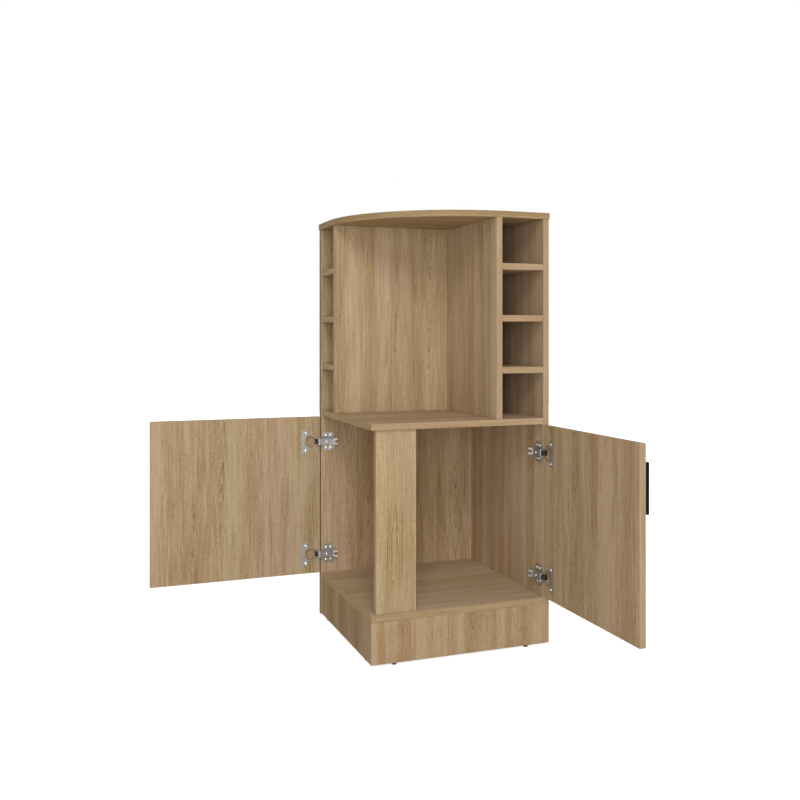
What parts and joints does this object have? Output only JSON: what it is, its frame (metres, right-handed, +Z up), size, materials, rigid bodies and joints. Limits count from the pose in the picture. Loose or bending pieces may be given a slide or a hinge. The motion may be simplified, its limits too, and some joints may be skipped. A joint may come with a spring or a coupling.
{
  "type": "corner bar cabinet",
  "caption": "Corner bar cabinet with a rounded top, an open niche between two racks of bottle cells and a two-door cupboard on a plinth.",
  "frame": {"origin": "on the floor, below the middle of the outline with both doors open at a right angle", "axes": "+Z up, +X and +Y normal to the two closed walls and pointing to them, so -Y and -X are the two open faces"},
  "size_m": [0.9152, 0.8902, 1.0376],
  "materials": {
    "oak_laminate": "satin wood-grain laminate on board",
    "brown_plastic": "matte",
    "black_metal": "satin black powder coat",
    "hinge_steel": "bright nickel plate"
  },
  "bodies": {
    "carcass": {"top_panel": "oak_laminate", "back_panel": "oak_laminate", "right_panel": "oak_laminate", "middle_shelf": "oak_laminate", "bottom_board": "oak_laminate", "corner_post": "oak_laminate", "plinth_front": "oak_laminate", "plinth_left": "oak_laminate", "divider_left": "oak_laminate", "divider_right": "oak_laminate", "rack_shelf_left_1": "oak_laminate", "rack_shelf_left_2": "oak_laminate", "rack_shelf_left_3": "oak_laminate", "rack_shelf_right_1": "oak_laminate", "rack_shelf_right_2": "oak_laminate", "rack_shelf_right_3": "oak_laminate", "glide_front_1": "brown_plastic", "glide_front_2": "brown_plastic", "glide_left_1": "brown_plastic", "glide_left_2": "brown_plastic", "glide_right_1": "brown_plastic", "glide_right_2": "brown_plastic", "glide_back_1": "brown_plastic", "glide_back_2": "brown_plastic", "hinge_arm_left_upper": "hinge_steel", "hinge_arm_left_lower": "hinge_steel", "hinge_arm_right_upper": "hinge_steel", "hinge_arm_right_lower": "hinge_steel", "hinge_plate_left_upper": "hinge_steel", "hinge_plate_left_lower": "hinge_steel", "hinge_plate_right_upper": "hinge_steel", "hinge_plate_right_lower": "hinge_steel"},
    "left_links": {"hinge_link_left_upper": "hinge_steel", "hinge_link_left_lower": "hinge_steel"},
    "left_door": {"door_left": "oak_laminate", "handle_left": "black_metal", "hinge_cup_left_upper": "hinge_steel", "hinge_cup_left_lower": "hinge_steel"},
    "right_links": {"hinge_link_right_upper": "hinge_steel", "hinge_link_right_lower": "hinge_steel"},
    "right_door": {"door_right": "oak_laminate", "handle_right": "black_metal", "hinge_cup_right_upper": "hinge_steel", "hinge_cup_right_lower": "hinge_steel"}
  },
  "joints": [
    {"name": "left_link_fold", "type": "hinge", "parent": "carcass", "child": "left_links", "pos_m": [-0.03001, 0.39002, 0.32195], "axis": [0, 0, 1], "range_deg": [-34.03, 7.58]},
    {"name": "left_door_swing", "type": "hinge", "parent": "left_links", "child": "left_door", "pos_m": [-0.0361, 0.40175, 0.32195], "axis": [0, 0, 1], "range_deg": [-27.56, 124.01]},
    {"name": "right_link_fold", "type": "hinge", "parent": "carcass", "child": "right_links", "pos_m": [0.40257, -0.03906, 0.32195], "axis": [0, 0, -1], "range_deg": [-34.03, 7.58]},
    {"name": "right_door_swing", "type": "hinge", "parent": "right_links", "child": "right_door", "pos_m": [0.4143, -0.04515, 0.32195], "axis": [0, 0, -1], "range_deg": [-27.56, 124.01]}
  ],
  "couplings": [
    {"joint": "left_link_fold", "follows": "left_door_swing", "ratio": -0.27423},
    {"joint": "right_link_fold", "follows": "right_door_swing", "ratio": -0.27423}
  ]
}
